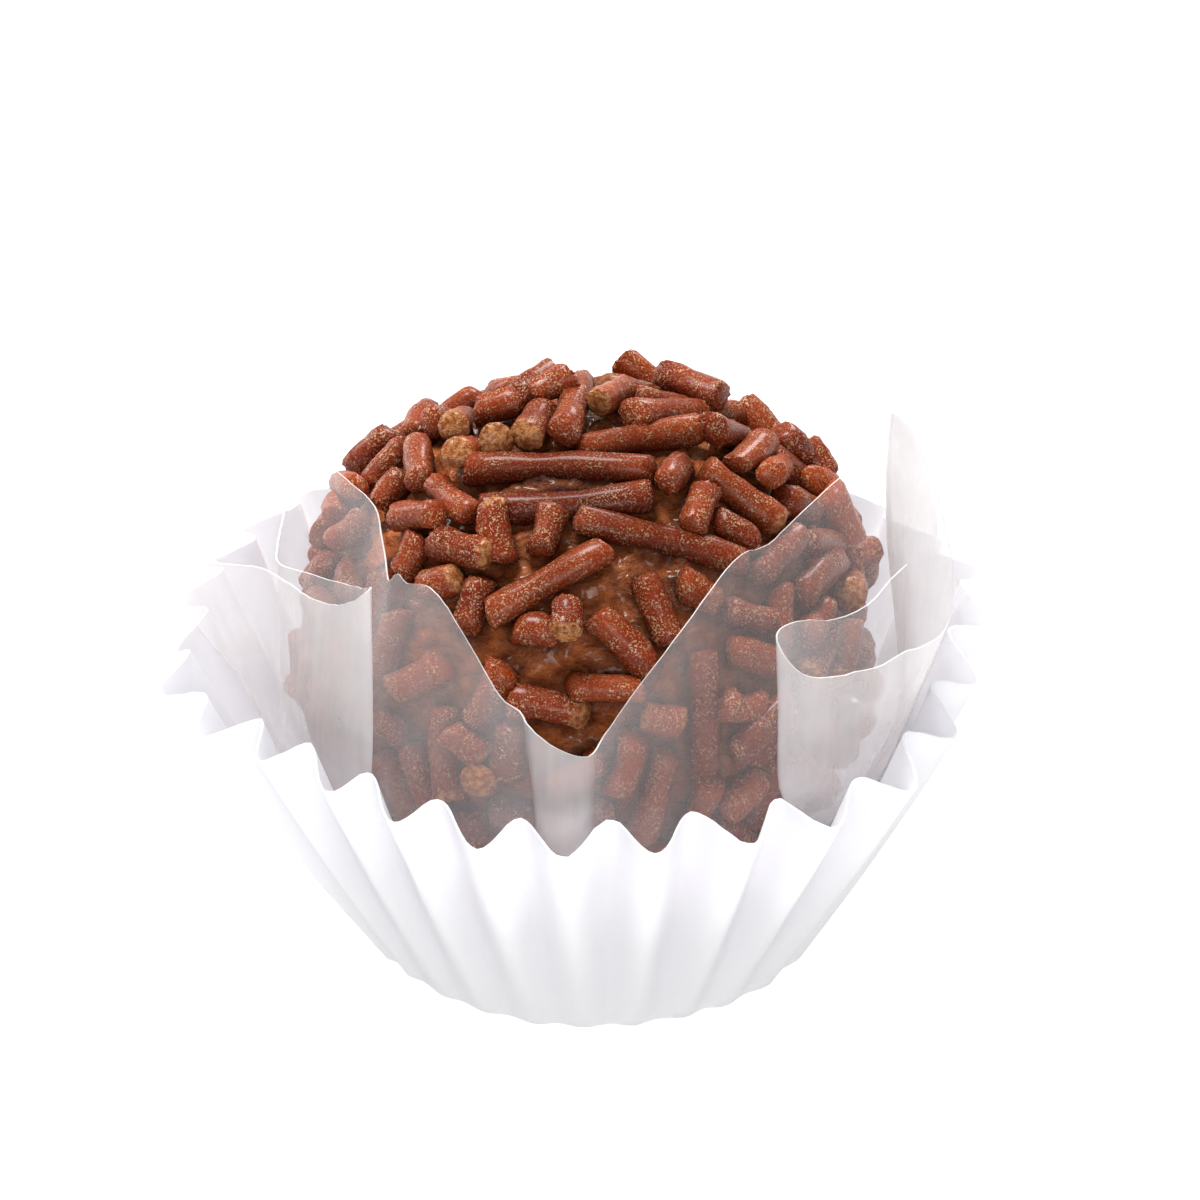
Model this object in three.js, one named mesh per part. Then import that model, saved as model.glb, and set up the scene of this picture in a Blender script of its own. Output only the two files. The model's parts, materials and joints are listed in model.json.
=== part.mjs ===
// A brigadeiro: a ball of chocolate fudge rolled in thick chocolate sprinkles, standing in a clear
// film wrapper with petals and in a fluted paper case.
//
// Millimetres, +Z up. The origin is the middle of the case's flat underside, and the front, where
// the wrapper parts and shows the sprinkles, faces -Y.

import * as THREE from 'three';
import { mergeVertices } from 'three/addons/utils/BufferGeometryUtils.js';

// Paper case
const CASE_HEIGHT = 18;
const CASE_BASE_RADIUS = 12.8;
const CASE_RIM_RADIUS = 22.6; // midway between the flutes' inner and outer folds
const CASE_FLARE = 1.05; // 1 is a straight wall, more hangs in a little below the rim
const CASE_FLOOR_MARGIN = 0.9; // from the flat floor's edge out to the wall's foot
const CASE_RISES = [0, 0.3, 0.65, 1]; // the wall's rings, from foot to rim
const PAPER_THICKNESS = 0.3;
const FLUTE_COUNT = 29;
const FLUTE_REACH_BASE = 0.3; // how far a fold stands in or out of the wall's middle
const FLUTE_REACH_RIM = 1.6;
const FLUTE_SEGMENTS = 6;
const FLUTE_CROWDING = 1.4; // radians of a flute by which flutes close up round CROWDED_TURN
const CROWDED_TURN = 0.6;
const RIM_UNEVENNESS = [
  { size: 0.5, waves: 1, phase: 2.9 },
  { size: 0.45, waves: 3, phase: 2.3 },
];
const RIM_SWAY = { size: 0.25, waves: 5, phase: 1 }; // up and down
const CASE_LEAN = -0.6; // the rim's middle lies this far along X from the base's

// Ball
const BALL_RADIUS = 16.9; // over the sprinkles, level with the ball's middle
const BALL_HALF_HEIGHT = 16.2;
const BALL_MIDDLE = 16.2; // height of the ball's middle
const BALL_LOWER_SQUEEZE = 0.97; // the half in the case is a little slimmer
const SQUEEZE_ONSET = 1 / 3; // share of the half height over which it comes on
const CORE_RADIUS = 15.5; // the fudge between the sprinkles
const SPRINKLE_RADIUS = 0.95;
const SPRINKLE_LENGTHS = [3.5, 7.5]; // shortest and longest
const SPRINKLE_COUNT = 230;
const SPRINKLE_SEED = 11;
const SPRINKLE_DRIFT = 0.25; // radians round the ball, at most
const SPRINKLE_BURIAL = 0.7; // share of its radius by which a sprinkle may sink, at most
const BALL_DETAIL = 12;
const MERGE_DISTANCE = 1e-4;

// Film wrapper
const FILM_THICKNESS = 0.3;
const CLEARANCE = 0.3; // between one piece and the next
const WAIST_HEIGHT = 17; // where the film leaves the ball and opens out
const FILM_FLOOR_RADIUS = 5.5;
const FILM_SLACK = 0.05;
const BOWL_HEIGHTS = [2.2, 5, 8.5, 12.5]; // here the film lies against the ball
const PETAL_SHARES = [0.5, 2 / 3, 0.78, 0.89, 1]; // along a petal's curve, above the bowl
const FILM_STEPS_PER_RIB = 2;

const CASE_COLOUR = 0xf6f6fa;
const FILM_COLOUR = 0xeeede8;
const CHOCOLATE_COLOUR = 0x6a3520;

// The film's cut edge, rib by rib, counterclockwise from the tuck under the front notch: turn from
// +X in degrees, radius at the waist, then radius and height at the edge. Angles and radii are
// about the ball's own axis.
const FRONT_NOTCH = [
  [-96, 18.4, 18.1, 21.6],
  [-87, 17.7, 17.4, 21.4],
];
const FRONT_RIGHT_PETAL = [
  [-79, 17.7, 16.6, 24.0],
  [-64, 17.9, 14.8, 27.6],
  [-50, 18.4, 14.2, 29.0],
  [-37, 19.4, 15.0, 29.8],
  [-26, 19.6, 17.0, 31.0],
  [-16, 19.2, 19.2, 32.0],
];
const RIGHT_PETAL = [
  [-8, 18.8, 25.5, 32.4],
  [0, 18.5, 28.8, 33.8],
  [12, 18.4, 26.2, 34.5],
  [24, 18.3, 21.0, 34.5],
  [32, 18.1, 18.6, 31.0],
  [40, 18.0, 17.9, 25.5],
];
const BACK_PETAL = [
  [47, 18.1, 19.2, 32.5],
  [60, 18.2, 19.8, 36.0],
  [75, 18.2, 20.2, 36.5],
  [90, 18.2, 20.2, 36.3],
  [103, 18.3, 21.0, 36.2],
  [112, 18.4, 22.6, 35.6],
  [117, 18.3, 20.6, 32.0],
  [122, 18.2, 18.6, 28.0],
];
const LEFT_PETAL = [
  [129, 18.2, 20.0, 33.5],
  [140, 18.3, 22.0, 36.2],
  [151, 18.4, 23.6, 36.5],
  [161, 18.5, 24.4, 35.4],
  [170, 18.6, 26.6, 34.0],
  [178, 18.7, 26.6, 32.0],
  [188, 18.8, 24.4, 27.5],
];
const FRONT_LEFT_PETAL = [
  [198, 18.8, 20.0, 26.4],
  [208, 18.6, 16.6, 28.0],
  [218, 18.3, 15.0, 28.4],
  [228, 18.0, 14.6, 27.6],
  [237, 17.9, 15.0, 27.2],
  [246, 17.8, 16.2, 25.4],
  [254, 17.7, 17.2, 23.4],
];
const FILM_RIBS = [
  ...FRONT_NOTCH,
  ...FRONT_RIGHT_PETAL,
  ...RIGHT_PETAL,
  ...BACK_PETAL,
  ...LEFT_PETAL,
  ...FRONT_LEFT_PETAL,
];

// A repeatable source of numbers from 0 up to 1.
function makeRandom(seed) {
  let state = seed;
  return () => {
    state = (Math.imul(state, 1664525) + 1013904223) >>> 0;
    return state / 2 ** 32;
  };
}

// A point at a turn (radians), radius and height about an axis that stands at x = axisX.
function polar(turn, radius, height, axisX) {
  return new THREE.Vector3(axisX + radius * Math.cos(turn), radius * Math.sin(turn), height);
}

// The surface normal at one point of a sheet of rings, from the points around it.
function sheetNormal(rings, middle, ring, column) {
  const count = rings[ring].length;
  const ahead = rings[ring][(column + 1) % count];
  const behind = rings[ring][(column + count - 1) % count];
  const inner = ring > 0 ? rings[ring - 1][column] : middle;
  const outer = ring < rings.length - 1 ? rings[ring + 1][column] : rings[ring][column];
  const along = new THREE.Vector3().subVectors(outer, inner);
  const round = new THREE.Vector3().subVectors(ahead, behind);
  return along.cross(round).normalize();
}

// A closed thin shell of even thickness on both sides of a cup-shaped sheet. The sheet is a list of
// rings from the middle of its floor out to its edge, each counterclockwise seen from above.
function cupShell(rings, thickness) {
  const columns = rings[0].length;
  const floorHeight = rings[0][0].z;
  const axisX = rings[0].reduce((sum, point) => sum + point.x, 0) / columns;
  const middle = new THREE.Vector3(axisX, 0, floorHeight);
  const positions = [];
  const index = [];
  const sides = [thickness / 2, -thickness / 2].map((offset) => {
    const start = positions.length / 3;
    positions.push(middle.x, middle.y, middle.z + offset);
    rings.forEach((ring, r) => {
      ring.forEach((point, c) => {
        const moved = point.clone().addScaledVector(sheetNormal(rings, middle, r, c), offset);
        positions.push(moved.x, moved.y, moved.z);
      });
    });
    return start;
  });
  const at = (side, ring, column) => sides[side] + 1 + ring * columns + (column % columns);
  const addFace = (a, b, c, side) => index.push(...(side === 0 ? [a, b, c] : [a, c, b]));
  for (let column = 0; column < columns; column += 1) {
    for (const side of [0, 1]) {
      addFace(sides[side], at(side, 0, column), at(side, 0, column + 1), side);
      for (let ring = 0; ring + 1 < rings.length; ring += 1) {
        const a = at(side, ring, column);
        const b = at(side, ring, column + 1);
        const c = at(side, ring + 1, column + 1);
        const d = at(side, ring + 1, column);
        addFace(a, d, c, side);
        addFace(a, c, b, side);
      }
    }
    const edge = rings.length - 1;
    index.push(at(0, edge, column), at(1, edge, column), at(1, edge, column + 1));
    index.push(at(0, edge, column), at(1, edge, column + 1), at(0, edge, column + 1));
  }
  const geometry = new THREE.BufferGeometry();
  geometry.setAttribute('position', new THREE.Float32BufferAttribute(positions, 3));
  geometry.setIndex(index);
  geometry.computeVertexNormals();
  return geometry;
}

// The middle of the case's wall at a turn (radians) and a rise from 0 at the base to 1 at the rim.
function caseWall(turn, rise) {
  const crowding = FLUTE_CROWDING * Math.sin(turn - CROWDED_TURN);
  const wave = Math.cos(FLUTE_COUNT * turn + crowding);
  const reach = THREE.MathUtils.lerp(FLUTE_REACH_BASE, FLUTE_REACH_RIM, rise);
  const uneven = RIM_UNEVENNESS.reduce(
    (sum, { size, waves, phase }) => sum + size * Math.cos(waves * turn + phase),
    0,
  );
  const flare = (CASE_RIM_RADIUS - CASE_BASE_RADIUS) * rise ** CASE_FLARE;
  const radius = CASE_BASE_RADIUS + flare + uneven * rise ** 2 + reach * wave;
  const sway = RIM_SWAY.size * rise * Math.sin(RIM_SWAY.waves * turn + RIM_SWAY.phase);
  return polar(turn, radius, PAPER_THICKNESS / 2 + CASE_HEIGHT * rise + sway, CASE_LEAN * rise);
}

function makePaperCase() {
  const columns = FLUTE_COUNT * FLUTE_SEGMENTS;
  const flatRadius = CASE_BASE_RADIUS - CASE_FLOOR_MARGIN;
  const floor = [];
  for (let column = 0; column < columns; column += 1) {
    const turn = (2 * Math.PI * column) / columns;
    floor.push(polar(turn, flatRadius, PAPER_THICKNESS / 2, 0));
  }
  const wall = CASE_RISES.map((rise) =>
    floor.map((_, column) => caseWall((2 * Math.PI * column) / columns, rise)),
  );
  return cupShell([floor, ...wall], PAPER_THICKNESS);
}

// How much slimmer the ball is at a level from -1 at its bottom to 1 at its top.
function ballSqueeze(level) {
  const share = THREE.MathUtils.clamp(-level / SQUEEZE_ONSET, 0, 1);
  return THREE.MathUtils.lerp(1, BALL_LOWER_SQUEEZE, share);
}

// The radius of the ball's outer outline at a height, over the sprinkles.
function ballOutline(height) {
  const level = THREE.MathUtils.clamp((height - BALL_MIDDLE) / BALL_HALF_HEIGHT, -1, 1);
  return BALL_RADIUS * ballSqueeze(level) * Math.sqrt(1 - level ** 2);
}

// The film's rings: a flat floor, a bowl round the ball, then out through the waist to the edge.
function makeFilm() {
  const floorHeight = PAPER_THICKNESS + CLEARANCE + FILM_THICKNESS / 2;
  const outside = CLEARANCE + FILM_THICKNESS / 2 + FILM_SLACK;
  const ribTurns = FILM_RIBS.map(([degrees]) => THREE.MathUtils.degToRad(degrees));
  const waistPoints = FILM_RIBS.map(([, waist], i) =>
    polar(ribTurns[i], waist, WAIST_HEIGHT, CASE_LEAN),
  );
  const edgePoints = FILM_RIBS.map(([, , radius, height], i) =>
    polar(ribTurns[i], radius, height, CASE_LEAN),
  );
  const waist = new THREE.CatmullRomCurve3(waistPoints, true, 'centripetal');
  const edge = new THREE.CatmullRomCurve3(edgePoints, true, 'centripetal');
  const columns = FILM_RIBS.length * FILM_STEPS_PER_RIB;
  const columnPoints = [];
  for (let column = 0; column < columns; column += 1) {
    const share = column / columns;
    const waistPoint = waist.getPoint(share);
    const edgePoint = edge.getPoint(share);
    const turn = Math.atan2(waistPoint.y, waistPoint.x - CASE_LEAN);
    const bowl = BOWL_HEIGHTS.map((height) =>
      polar(turn, ballOutline(height) + outside, height, CASE_LEAN),
    );
    const petal = new THREE.CatmullRomCurve3([...bowl.slice(-2), waistPoint, edgePoint]);
    const rising = PETAL_SHARES.map((along) => petal.getPoint(along));
    const floor = polar(turn, FILM_FLOOR_RADIUS, floorHeight, CASE_LEAN);
    columnPoints.push([floor, ...bowl, ...rising]);
  }
  const rings = columnPoints[0].map((_, ring) => columnPoints.map((points) => points[ring]));
  return cupShell(rings, FILM_THICKNESS);
}

// Sprinkles lying on the ball in every direction, evenly spread: middle, direction and half length.
function scatterSprinkles() {
  const random = makeRandom(SPRINKLE_SEED);
  const goldenTurn = Math.PI * (3 - Math.sqrt(5));
  const [shortest, longest] = SPRINKLE_LENGTHS;
  const sprinkles = [];
  for (let i = 0; i < SPRINKLE_COUNT; i += 1) {
    const level = 1 - (2 * (i + 0.5)) / SPRINKLE_COUNT;
    const around = i * goldenTurn + random() * SPRINKLE_DRIFT;
    const out = polar(around, Math.sqrt(1 - level ** 2), level, 0);
    const side = new THREE.Vector3(-Math.sin(around), Math.cos(around), 0);
    const direction = side.applyAxisAngle(out, random() * Math.PI);
    const length = THREE.MathUtils.lerp(shortest, longest, random());
    const depth = SPRINKLE_RADIUS * (1 + SPRINKLE_BURIAL * random());
    const middle = out.multiplyScalar(BALL_RADIUS - depth);
    sprinkles.push({ middle, direction, halfLength: length / 2 - SPRINKLE_RADIUS });
  }
  return sprinkles;
}

// How far out the surface lies along a unit direction: the fudge, or the highest sprinkle there.
function surfaceRadius(out, sprinkles) {
  let radius = CORE_RADIUS;
  for (const { middle, direction, halfLength } of sprinkles) {
    const along = middle.dot(out);
    if (along < 0) continue;
    const onRay = out.clone().multiplyScalar(along);
    const shift = THREE.MathUtils.clamp(onRay.sub(middle).dot(direction), -halfLength, halfLength);
    const nearest = direction.clone().multiplyScalar(shift).add(middle);
    const reach = nearest.dot(out);
    const miss = Math.sqrt(Math.max(0, nearest.lengthSq() - reach ** 2));
    if (miss < SPRINKLE_RADIUS) {
      radius = Math.max(radius, reach + Math.sqrt(SPRINKLE_RADIUS ** 2 - miss ** 2));
    }
  }
  return radius;
}

function makeBall() {
  const sphere = new THREE.IcosahedronGeometry(1, BALL_DETAIL);
  sphere.deleteAttribute('normal');
  sphere.deleteAttribute('uv');
  const ball = mergeVertices(sphere, MERGE_DISTANCE);
  const sprinkles = scatterSprinkles();
  const positions = ball.getAttribute('position');
  const bottom = PAPER_THICKNESS + FILM_THICKNESS + 2 * CLEARANCE;
  const heightShare = BALL_HALF_HEIGHT / BALL_RADIUS;
  for (let i = 0; i < positions.count; i += 1) {
    const out = new THREE.Vector3().fromBufferAttribute(positions, i).normalize();
    const share = Math.min(1, surfaceRadius(out, sprinkles) / BALL_RADIUS);
    const height = BALL_MIDDLE + out.z * share * BALL_RADIUS * heightShare;
    const across = share * BALL_RADIUS * ballSqueeze(out.z);
    positions.setXYZ(i, CASE_LEAN + out.x * across, out.y * across, Math.max(bottom, height));
  }
  ball.computeVertexNormals();
  return ball;
}

function addPiece(name, geometry, colour, roughness) {
  const material = new THREE.MeshStandardMaterial({ color: colour, roughness, metalness: 0 });
  const mesh = new THREE.Mesh(geometry, material);
  mesh.name = name;
  brigadeiro.add(mesh);
}

const brigadeiro = new THREE.Group();
addPiece('paper_case', makePaperCase(), CASE_COLOUR, 0.8);
addPiece('film_wrapper', makeFilm(), FILM_COLOUR, 0.15);
addPiece('sprinkled_ball', makeBall(), CHOCOLATE_COLOUR, 0.55);

export default brigadeiro;
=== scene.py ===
"""A brigadeiro: fudge rolled in thick chocolate sprinkles, in a clear film wrapper and a paper case.

Sizes in the classes are millimetres and turns are degrees from +X, unless a name says otherwise.
Colours are linear. Everything is built in metres, +Z up, with the front facing -Y.
"""

import json
import logging
import math
from collections.abc import Callable, Iterator, Sequence
from contextlib import contextmanager
from dataclasses import dataclass, field
from enum import Enum
from typing import Any, NamedTuple

import bpy
import numpy as np
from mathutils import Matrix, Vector, kdtree, noise

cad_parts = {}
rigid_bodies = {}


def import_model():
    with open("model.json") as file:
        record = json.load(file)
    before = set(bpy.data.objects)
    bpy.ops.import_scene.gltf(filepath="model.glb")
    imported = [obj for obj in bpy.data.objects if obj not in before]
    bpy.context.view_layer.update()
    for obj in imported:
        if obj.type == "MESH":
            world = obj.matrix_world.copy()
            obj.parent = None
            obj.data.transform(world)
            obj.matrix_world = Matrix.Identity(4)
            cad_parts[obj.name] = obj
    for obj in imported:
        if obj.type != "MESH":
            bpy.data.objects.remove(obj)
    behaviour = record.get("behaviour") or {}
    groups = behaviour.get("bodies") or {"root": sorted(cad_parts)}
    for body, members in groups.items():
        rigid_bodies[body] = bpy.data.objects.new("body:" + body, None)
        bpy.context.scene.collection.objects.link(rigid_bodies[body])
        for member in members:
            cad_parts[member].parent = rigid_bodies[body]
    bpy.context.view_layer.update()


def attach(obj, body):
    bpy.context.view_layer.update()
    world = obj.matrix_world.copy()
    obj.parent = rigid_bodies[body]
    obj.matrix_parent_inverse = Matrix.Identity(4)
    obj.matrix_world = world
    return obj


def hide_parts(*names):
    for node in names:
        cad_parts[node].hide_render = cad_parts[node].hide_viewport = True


MM = 0.001
BLANK_RADIUS = 10.0
SLACK = 0.02
END_FACING = 0.95
CHAIN_STEP = 0.7
CHAIN_INSET = 0.5
CHAIN_INSET_SHARE = 0.35
LOG = logging.getLogger("brigadeiro")


# ---------------------------------------------------------------- modelling helpers


def deselect_all() -> None:
    """Leave nothing selected, so that the next operator acts on its own piece only."""
    for item in bpy.context.view_layer.objects:
        item.select_set(False)


def pick(piece: bpy.types.Object) -> None:
    """Select one piece alone and make it active, for the operators that follow."""
    deselect_all()
    piece.select_set(True)
    bpy.context.view_layer.objects.active = piece


@contextmanager
def editing(piece: bpy.types.Object) -> Iterator[None]:
    """Open a piece in edit mode with everything selected, and close it afterwards.

    Args:
        piece: The object to edit.
    """
    pick(piece)
    bpy.ops.object.mode_set(mode="EDIT")
    bpy.ops.mesh.select_all(action="SELECT")
    yield
    bpy.ops.object.mode_set(mode="OBJECT")


def added(name: str) -> bpy.types.Object:
    """Name the primitive that was just added, and give it."""
    piece = bpy.context.active_object
    piece.name = name
    piece.data.name = name
    return piece


def apply_modifier(piece: bpy.types.Object, kind: str, **settings: Any) -> None:
    """Add a modifier, set it and apply it.

    Args:
        piece: The object to change.
        kind: The modifier's type.
        **settings: The modifier's own properties.
    """
    pick(piece)
    modifier = piece.modifiers.new(kind.title(), kind)
    for key, value in settings.items():
        setattr(modifier, key, value)
    bpy.ops.object.modifier_apply(modifier=modifier.name)


def smooth(piece: bpy.types.Object, angle: float = 50.0) -> None:
    """Shade a piece smooth, and leave the edges sharper than an angle crisp."""
    pick(piece)
    bpy.ops.object.shade_smooth_by_angle(angle=math.radians(angle))


def corners(piece: bpy.types.Object) -> np.ndarray:
    """Read a piece's vertices.

    Args:
        piece: A mesh object.

    Returns:
        One row of x, y and z for each vertex, in millimetres.
    """
    flat = np.empty(len(piece.data.vertices) * 3)
    piece.data.vertices.foreach_get("co", flat)
    return flat.reshape(-1, 3) / MM


def move_corners(piece: bpy.types.Object, places: np.ndarray) -> None:
    """Put a piece's vertices in new places, one row for each, in millimetres."""
    piece.data.vertices.foreach_set("co", (places * MM).ravel())
    piece.data.update()


def polar(turn: float, radius: float, height: float, axis: float = 0.0) -> Vector:
    """Find a point about an upright axis.

    Args:
        turn: Degrees from +X.
        radius: Distance from the axis.
        height: Distance over the floor.
        axis: Where the axis stands along X.

    Returns:
        The point, in millimetres.
    """
    angle = math.radians(turn)
    return Vector((axis + radius * math.cos(angle), radius * math.sin(angle), height))


def catmull_rom(before: Vector, start: Vector, end: Vector, after: Vector, share: float) -> Vector:
    """Find a point on the smooth curve that runs through four points, between the middle two.

    Args:
        before: The point ahead of the stretch.
        start: Where the stretch starts.
        end: Where it ends.
        after: The point that follows it.
        share: How far along the stretch, from 0 to 1.

    Returns:
        The point on the curve.
    """
    square = share * share
    cube = square * share
    return 0.5 * (
        2 * start
        + (end - before) * share
        + (2 * before - 5 * start + 4 * end - after) * square
        + (3 * start - before - 3 * end + after) * cube
    )


def cup_blank(name: str, columns: int, rows: int) -> bpy.types.Object:
    """Make a plain cup: a disc and a straight wall cut into rings, one millimetre apart.

    Args:
        name: The piece's name.
        columns: Points in each ring.
        rows: Rings over the disc.

    Returns:
        The cup, ready to be shaped by shape_cup.
    """
    deselect_all()
    bpy.ops.mesh.primitive_cylinder_add(
        vertices=columns,
        radius=BLANK_RADIUS * MM,
        depth=rows * MM,
        end_fill_type="TRIFAN",
        location=(0, 0, rows * MM / 2),
    )
    bpy.ops.object.transform_apply(location=True, rotation=False, scale=False)
    cup = added(name)
    with editing(cup):
        bpy.ops.mesh.select_all(action="DESELECT")
        bpy.ops.object.mode_set(mode="OBJECT")
        for vertex in cup.data.vertices:
            vertex.select = vertex.co.z > MM and vertex.co.xy.length < BLANK_RADIUS * MM / 2
        bpy.ops.object.mode_set(mode="EDIT")
        bpy.ops.mesh.delete(type="VERT")
        for row in range(1, rows):
            bpy.ops.mesh.select_all(action="SELECT")
            bpy.ops.mesh.bisect(plane_co=(0, 0, row * MM), plane_no=(0, 0, 1))
        bpy.ops.mesh.select_all(action="SELECT")
        bpy.ops.mesh.normals_make_consistent(inside=False)
    return cup


def shape_cup(cup: bpy.types.Object, place: Callable[[float, int], Vector], middle: Vector) -> None:
    """Move each point of a plain cup to its place.

    Args:
        cup: A piece from cup_blank.
        place: Gives the place of the point at a turn, from 0 up to 1, and a row.
        middle: The place of the point in the middle of the floor.
    """
    places = corners(cup)
    for index, (x, y, z) in enumerate(places.copy()):
        share = math.atan2(y, x) / math.tau % 1
        places[index] = middle if math.hypot(x, y) < BLANK_RADIUS / 2 else place(share, round(z))
    move_corners(cup, places)


# ---------------------------------------------------------------- shader helpers


class Signal:
    """A number that varies over a surface, which can be used in Python sums."""

    def __init__(self, recipe: "Recipe", socket: bpy.types.NodeSocket) -> None:
        """Wrap an output of a material's node."""
        self.recipe = recipe
        self.socket = socket

    def _math(self, operation: str, first: Any, second: Any) -> "Signal":
        """Add a Math node and give its result."""
        return self.recipe.value("ShaderNodeMath", {0: first, 1: second}, operation=operation)

    def __add__(self, other: Any) -> "Signal":
        """Give self + other."""
        return self._math("ADD", self, other)

    def __radd__(self, other: Any) -> "Signal":
        """Give other + self."""
        return self._math("ADD", other, self)

    def __sub__(self, other: Any) -> "Signal":
        """Give self - other."""
        return self._math("SUBTRACT", self, other)

    def __rsub__(self, other: Any) -> "Signal":
        """Give other - self."""
        return self._math("SUBTRACT", other, self)

    def __mul__(self, other: Any) -> "Signal":
        """Give self * other."""
        return self._math("MULTIPLY", self, other)

    def __pow__(self, other: Any) -> "Signal":
        """Give self to the power of other."""
        return self._math("POWER", self, other)

    def between(self, low: float, high: float) -> "Signal":
        """Give 0 below low and 1 over high, with a soft step between them."""
        inputs = {"Value": self, "From Min": low, "From Max": high}
        return self.recipe.value("ShaderNodeMapRange", inputs, interpolation_type="SMOOTHSTEP")

    def clipped(self, low: float, high: float) -> "Signal":
        """Keep the number from low to high."""
        return self.recipe.value("ShaderNodeClamp", {"Value": self, "Min": low, "Max": high})


class Recipe:
    """A material under construction."""

    def __init__(self, name: str) -> None:
        """Start a material with an empty tree."""
        self.material = bpy.data.materials.new(name)
        self.material.use_nodes = True
        self.tree = self.material.node_tree
        self.tree.nodes.clear()
        self.places = self.node("ShaderNodeTexCoord").outputs["Object"]

    def node(self, kind: str, inputs: dict[Any, Any] | None = None, **settings: Any) -> bpy.types.Node:
        """Add a node.

        Args:
            kind: The node's type.
            inputs: Values or links for its sockets, by name or number.
            **settings: Its properties.

        Returns:
            The node.
        """
        made = self.tree.nodes.new(kind)
        for key, value in settings.items():
            setattr(made, key, value)
        for key, value in (inputs or {}).items():
            socket = value.socket if isinstance(value, Signal) else value
            if isinstance(socket, bpy.types.NodeSocket):
                self.tree.links.new(socket, made.inputs[key])
            else:
                made.inputs[key].default_value = value
        return made

    def value(self, kind: str, inputs: dict[Any, Any], output: Any = 0, **settings: Any) -> Signal:
        """Add a node and wrap one of its outputs, by name or number, as a number for sums."""
        return Signal(self, self.node(kind, inputs, **settings).outputs[output])

    def shader(self, kind: str, inputs: dict[Any, Any] | None = None) -> bpy.types.NodeSocket:
        """Add a shader node and give its output."""
        return self.node(f"ShaderNode{kind}", inputs).outputs[0]

    def layered(self, share: Any, under: Any, over: Any) -> bpy.types.NodeSocket:
        """Mix two shaders, with so much of the second."""
        return self.shader("MixShader", {0: share, 1: under, 2: over})

    def grain(self, size: float, detail: float = 2, roughness: float = 0.5, stretch: Any = None) -> Signal:
        """Add cloudy noise.

        Args:
            size: How wide its blots are, in millimetres.
            detail: How many finer layers it has.
            roughness: How strong the finer layers are.
            stretch: Scale along each axis, for streaks.

        Returns:
            Noise about 0.5.
        """
        places = self.places
        if stretch is not None:
            places = self.node("ShaderNodeMapping", {"Vector": places, "Scale": stretch}).outputs[0]
        inputs = {"Vector": places, "Scale": 1 / (size * MM), "Detail": detail, "Roughness": roughness}
        return self.value("ShaderNodeTexNoise", inputs, "Fac")

    def dots(self, apart: float, size: float) -> Signal:
        """Give 1 in scattered soft dots, so many millimetres apart and a share of that in radius."""
        inputs = {"Vector": self.places, "Scale": 1 / (apart * MM)}
        return 1 - self.value("ShaderNodeTexVoronoi", inputs, "Distance").between(0.4 * size, size)

    def attribute(self, name: str) -> Signal:
        """Read a number that the mesh carries."""
        return self.value("ShaderNodeAttribute", {}, "Fac", attribute_name=name)

    def blend(self, share: Any, first: Any, second: Any) -> bpy.types.NodeSocket:
        """Mix two colours.

        Args:
            share: How much of the second.
            first: A colour or a link.
            second: A colour or a link.

        Returns:
            The mixed colour.
        """
        colours = [(*c, 1.0) if isinstance(c, tuple) else c for c in (first, second)]
        inputs = {0: share, 6: colours[0], 7: colours[1]}
        return self.node("ShaderNodeMix", inputs, data_type="RGBA", clamp_factor=True).outputs[2]

    def bump(self, height: Signal, depth: float) -> bpy.types.NodeSocket:
        """Turn a height from 0 to 1 into a normal, for a relief so many millimetres deep."""
        return self.node("ShaderNodeBump", {"Height": height, "Distance": depth * MM}).outputs[0]

    def finish(self, surface: bpy.types.NodeSocket) -> bpy.types.Material:
        """Show a shader on the surface, and give the finished material."""
        self.node("ShaderNodeOutputMaterial", {"Surface": surface})
        return self.material


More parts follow.
